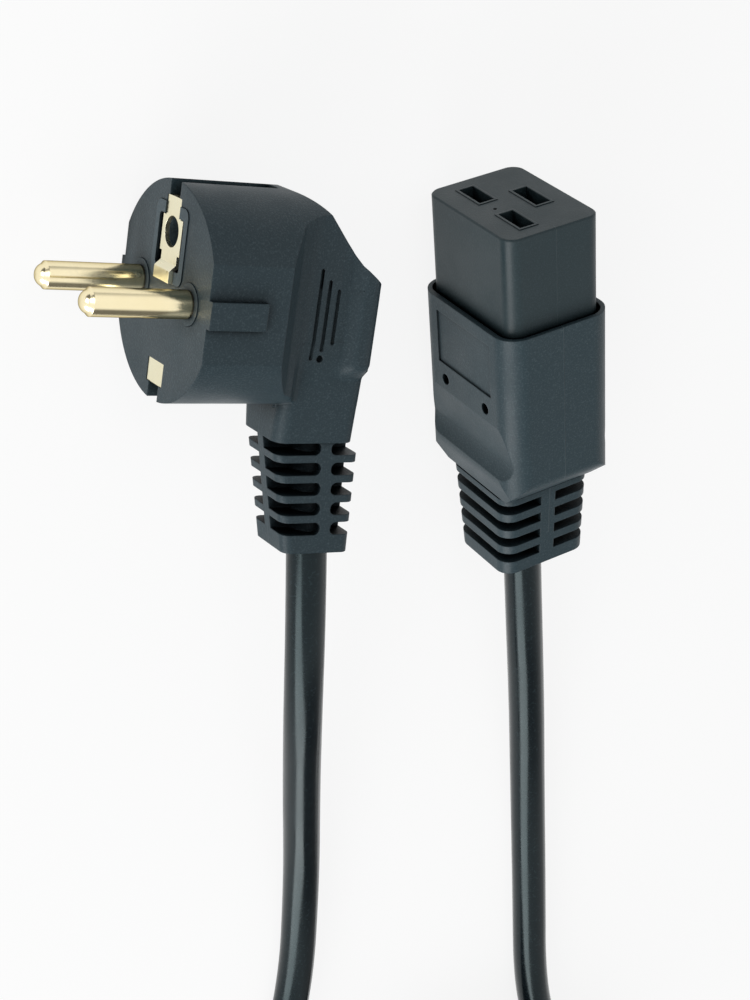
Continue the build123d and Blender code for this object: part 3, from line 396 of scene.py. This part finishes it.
def cheek(name, side):
    """Side of the grip, which flows from the waist and its rear rib into the neck.

    The surface is z = (1 - w) waist(x) + w neck(x, y), never outside both the neck and the round of the
    face. The waist is CHEEK_LINE plus the rib's smooth step. The neck narrows evenly with y. The share w
    is a smooth step of y, later at the rib, times one of x at the front. At the back both outlines end in
    a quarter circle. Each groove and the sprue mark lowers z by a smooth step of the distance to its
    middle line, and the border dips into the moulding by a smooth step too.
    """
    y = np.arange(CHEEK_TOP, CHEEK_FLOOR, -CHEEK_STEP)[:, None]
    flat = np.arange(CHEEK_LINE[0][0], CHEEK_BACK - CHEEK_ROUND, CHEEK_STEP)
    bend = np.linspace(0, pi / 2, CORNER_STEPS)
    down = np.clip((NECK_TOP - y) / NECK_RUN, 0, 1)
    half = NECK_HALF - NECK_TAPER * down
    front = NECK_FRONT + NECK_FRONT_LEAN * down
    back = NECK_BACK + NECK_BACK_LEAN * down
    line = np.array(CHEEK_LINE)
    waist = np.interp(flat, line[:, 0], line[:, 1])
    waist = waist + (CHEEK_RIB_HALF - line[-1, 1]) * ramp(flat, CHEEK_RIB_FROM, CHEEK_RIB_TO)
    inset = np.clip(front + NECK_ROUND - flat[None, :], 0, NECK_ROUND)
    neck = half - NECK_ROUND + np.sqrt(NECK_ROUND**2 - inset**2)
    early = ramp(-y, *WAIST_ENDS) * ramp(flat, *FRONT_JOINS)[None, :]
    late = ramp(-y, *RIB_ENDS)
    share = early + (late - early) * ramp(flat, *RIB_TAKES)[None, :]
    risen = neck - CHEEK_RISE * ramp(y, NECK_TOP, NECK_TOP + CHEEK_RUN)
    z = np.maximum((1 - share) * waist[None, :] + share * neck, risen)
    z = np.minimum(z, np.maximum(neck, np.sqrt(np.maximum(FACE_R**2 - y**2, 0))))
    for middle, top, floor in GRIP_GROOVES:
        end = np.clip(y, floor + GROOVE_WIDTH / 2, top - GROOVE_WIDTH / 2)
        gap = np.hypot(flat[None, :] - middle, y - end)
        z = z - GROOVE_DEPTH * ramp(gap, GROOVE_WIDTH / 2 + LIP_OUT, GROOVE_WIDTH / 2 - LIP_IN)
    gap = np.hypot(flat[None, :] - SPRUE_AT[0], y - SPRUE_AT[1])
    z = z - SPRUE_DEPTH * ramp(gap, SPRUE_D / 2 + LIP_OUT, SPRUE_D / 2 - LIP_IN)
    dip = ramp(y, CHEEK_TOP - CHEEK_RUN, CHEEK_TOP) + ramp(-y, -CHEEK_FLOOR - CHEEK_RUN, -CHEEK_FLOOR)
    lift = CHEEK_LIFT - CHEEK_DIP * dip
    z = z + lift - CHEEK_DIP * ramp(flat, flat[0] + CHEEK_RUN, flat[0])[None, :]
    flat_part = np.stack(np.broadcast_arrays(flat[None, :], y, z), axis=-1)
    centre_x = (1 - late) * (CHEEK_BACK - CHEEK_ROUND) + late * (back - NECK_ROUND)
    centre_z = (1 - late) * (CHEEK_RIB_HALF - CHEEK_ROUND) + late * (half - NECK_ROUND)
    radius = (1 - late) * CHEEK_ROUND + late * NECK_ROUND + lift
    corner_x = centre_x + radius * np.sin(bend)[None, :]
    corner_z = centre_z + radius * np.cos(bend)[None, :]
    corner = np.stack(np.broadcast_arrays(corner_x, y, corner_z), axis=-1)
    last = corner[:, -1:, :] * (1, 1, CHEEK_TUCK)
    grid = np.concatenate([flat_part, corner, last], axis=1) * (1, 1, side)
    high, wide = grid.shape[:2]
    first = (np.arange(high - 1)[:, None] * wide + np.arange(wide - 1)[None, :]).ravel()
    faces = np.stack([first, first + wide, first + wide + 1, first + 1], axis=1)
    if side < 0:
        faces = faces[:, ::-1]
    spots = laid(grid.reshape(-1, 3), PLUG_AT, PLUG_TURN, PLUG_TILT)
    skin = bpy.data.meshes.new(name)
    skin.from_pydata(spots.tolist(), [], faces.tolist())
    skin.polygons.foreach_set("use_smooth", np.ones(len(faces), dtype=bool))
    skin.materials.append(PLUG_PVC)
    made = bpy.data.objects.new(name, skin)
    scene.collection.objects.link(made)
    wall = made.modifiers.new("wall", "SOLIDIFY")
    wall.thickness = CHEEK_THICK * MM
    wall.offset = -1
    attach(made, "root")


cheek("grip_cheek_upper", 1)
cheek("grip_cheek_lower", -1)


def coil_points():
    """Turns of the coil: inwards on the top layer, down, and outwards on the bottom one.

    The radius holds for most of a turn and moves to the next column in the last fifth of it. A quadratic
    spline runs inside its points by the share cos(step)/4 + 3/4, so the points stand that much further
    out.
    """
    wide, middle, narrow = COIL_COLUMNS
    half = COIL_TURNS / 2
    turns = np.arange(1, round(COIL_TURNS * POINTS_A_TURN)) / POINTS_A_TURN
    knots = np.array([0, 1 - COIL_STEP, 1, 2 - COIL_STEP, 2, half + 1 - COIL_STEP, half + 1])
    knots = np.append(knots, [half + 2 - COIL_STEP, half + 2, COIL_TURNS])
    sizes = [wide, wide, middle, middle, narrow, narrow, middle, middle, wide, wide]
    radii = np.interp(turns, knots, sizes) / (0.75 + np.cos(2 * pi / POINTS_A_TURN) / 4)
    heights = np.interp(turns, [half - COIL_STEP, half], COIL_LAYERS)
    angles = radians(COIL_IN_ANGLE) + 2 * pi * turns
    across = COIL_AT[0] + radii * np.cos(angles)
    back = COIL_AT[1] + radii * np.sin(angles)
    return np.stack([across, back, heights], axis=1)


def cable():
    """The whole cable as one smooth line: plug, ground, coil, ground, connector."""
    route = np.concatenate([PLUG_ROUTE, coil_points(), CONNECTOR_ROUTE[::-1]]) * MM
    line = bpy.data.curves.new("cable", "CURVE")
    line.dimensions = "3D"
    line.bevel_depth = CABLE_D / 2 * MM
    line.bevel_resolution = 7
    line.use_fill_caps = True
    spline = line.splines.new("NURBS")
    spline.points.add(len(route) - 1)
    spline.points.foreach_set("co", np.column_stack([route, np.ones(len(route))]).ravel())
    spline.order_u = 3
    spline.use_endpoint_u = True
    spline.resolution_u = 10
    made = bpy.data.objects.new("cable", line)
    scene.collection.objects.link(made)
    line.materials.append(JACKET_PVC)
    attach(made, "root")
    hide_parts("cord_plug_side", "cord_connector_side", "cord_coil")


cable()


# Half width of the paper in metres, and the share of its white that the camera and shiny pieces see as
# plain white, whatever falls on it
FLOOR_HALF = 3.0
PAPER_GLOW = 0.86


def seen_ray(tree):
    """1 for a ray from the camera, from a shiny piece or through a clear one, 0 for light that spreads."""
    rays = add(tree, "LightPath").outputs
    first = add(
        tree, "Math", None, {0: rays["Is Camera Ray"], 1: rays["Is Glossy Ray"]}, operation="MAXIMUM",
    ).outputs["Value"]
    return add(
        tree, "Math", None, {0: first, 1: rays["Is Transmission Ray"]}, operation="MAXIMUM",
    ).outputs["Value"]


def floor():
    """Pale paper that the cord set lies on: white to the camera, with the shadow of the object on it."""
    corners = np.array([(-1, -1, 0), (1, -1, 0), (1, 1, 0), (-1, 1, 0)]) * FLOOR_HALF
    sheet = bpy.data.meshes.new("floor")
    sheet.from_pydata(corners.tolist(), [], [(0, 1, 2, 3)])
    made = bpy.data.objects.new("floor", sheet)
    scene.collection.objects.link(made)
    paper, tree, _, out = blank("white_paper")
    skin = add(tree, "BsdfDiffuse", {"Color": colour("#f4f5f5")})
    bright = add(tree, "Emission", {"Color": colour("#fefefe"), "Strength": 1.0})
    share = add(tree, "Math", {1: PAPER_GLOW}, {0: seen_ray(tree)}, operation="MULTIPLY")
    both = add(
        tree, "MixShader", None,
        {0: share.outputs["Value"], 1: skin.outputs["BSDF"], 2: bright.outputs["Emission"]},
    )
    tree.links.new(both.outputs["Shader"], out.inputs["Surface"])
    sheet.materials.append(paper)


floor()


def lamp(name, at, target, size, power):
    """Soft box of a width and a height at a place, turned to a target."""
    light = bpy.data.lights.new(name, "AREA")
    light.shape = "RECTANGLE"
    light.size, light.size_y = size
    light.energy = power
    made = bpy.data.objects.new(name, light)
    aim = Vector(at) - Vector(target)
    made.matrix_world = Matrix.Translation(at) @ aim.to_track_quat("Z", "Y").to_matrix().to_4x4()
    scene.collection.objects.link(made)


# Behind the camera for the form, low on one side for the stripe along the cable, overhead for the top faces
lamp("main_box", (-0.6, 0.5, 0.45), (0, 0, 0), (0.5, 0.5), 2.0)
lamp("low_box", (-0.72, -0.72, 0.36), (-0.02, -0.1, 0.01), (1.2, 0.6), 11.5)
lamp("overhead_box", (0.0, 0.5, 0.8), (0, 0, 0), (0.5, 0.4), 1.2)

# Strength of the sky's even light, and of the room's dark walls before and behind, as shiny pieces show
# them, with the share of a direction along y from which the walls start and are full
SKY_LIGHT, DARK_WALL = 0.38, 0.15
WALL_START, WALL_FULL = 0.62, 0.8
world = bpy.data.worlds.new("studio")
scene.world = world
world.use_nodes = True
sky = world.node_tree
sky.nodes.clear()
heading = add(sky, "SeparateXYZ", None, {"Vector": add(sky, "TexCoord").outputs["Generated"]})
across = add(sky, "Math", None, {0: heading.outputs["Y"]}, operation="ABSOLUTE")
wall = add(
    sky, "MapRange", {"From Min": WALL_START, "From Max": WALL_FULL, "To Min": 1.0, "To Max": DARK_WALL},
    {"Value": across.outputs["Value"]},
)
shiny = add(sky, "LightPath").outputs["Is Glossy Ray"]
backdrop = add(sky, "Mix", {"A": 1.0}, {"Factor": shiny, "B": wall.outputs["Result"]}, data_type="FLOAT")
level = add(
    sky, "Mix", {"A": SKY_LIGHT}, {"Factor": seen_ray(sky), "B": backdrop.outputs["Result"]},
    data_type="FLOAT",
)
glow = add(sky, "Background", {"Color": colour("#ffffff")}, {"Strength": level.outputs["Result"]})
add(sky, "OutputWorld", None, {"Surface": glow.outputs["Background"]})

eye = bpy.data.cameras.new("photo_camera")
eye.sensor_fit = "VERTICAL"
eye.sensor_height = CAMERA_SENSOR
eye.lens = CAMERA_LENS
camera = bpy.data.objects.new("photo_camera", eye)
back = -Vector(CAMERA_LOOK).normalized()
right = Vector(CAMERA_UP).cross(back).normalized()
turned = Matrix((right, back.cross(right), back)).transposed()
camera.matrix_world = Matrix.Translation(CAMERA_AT) @ turned.to_4x4()
scene.collection.objects.link(camera)
scene.camera = camera
scene.view_settings.view_transform = "Standard"
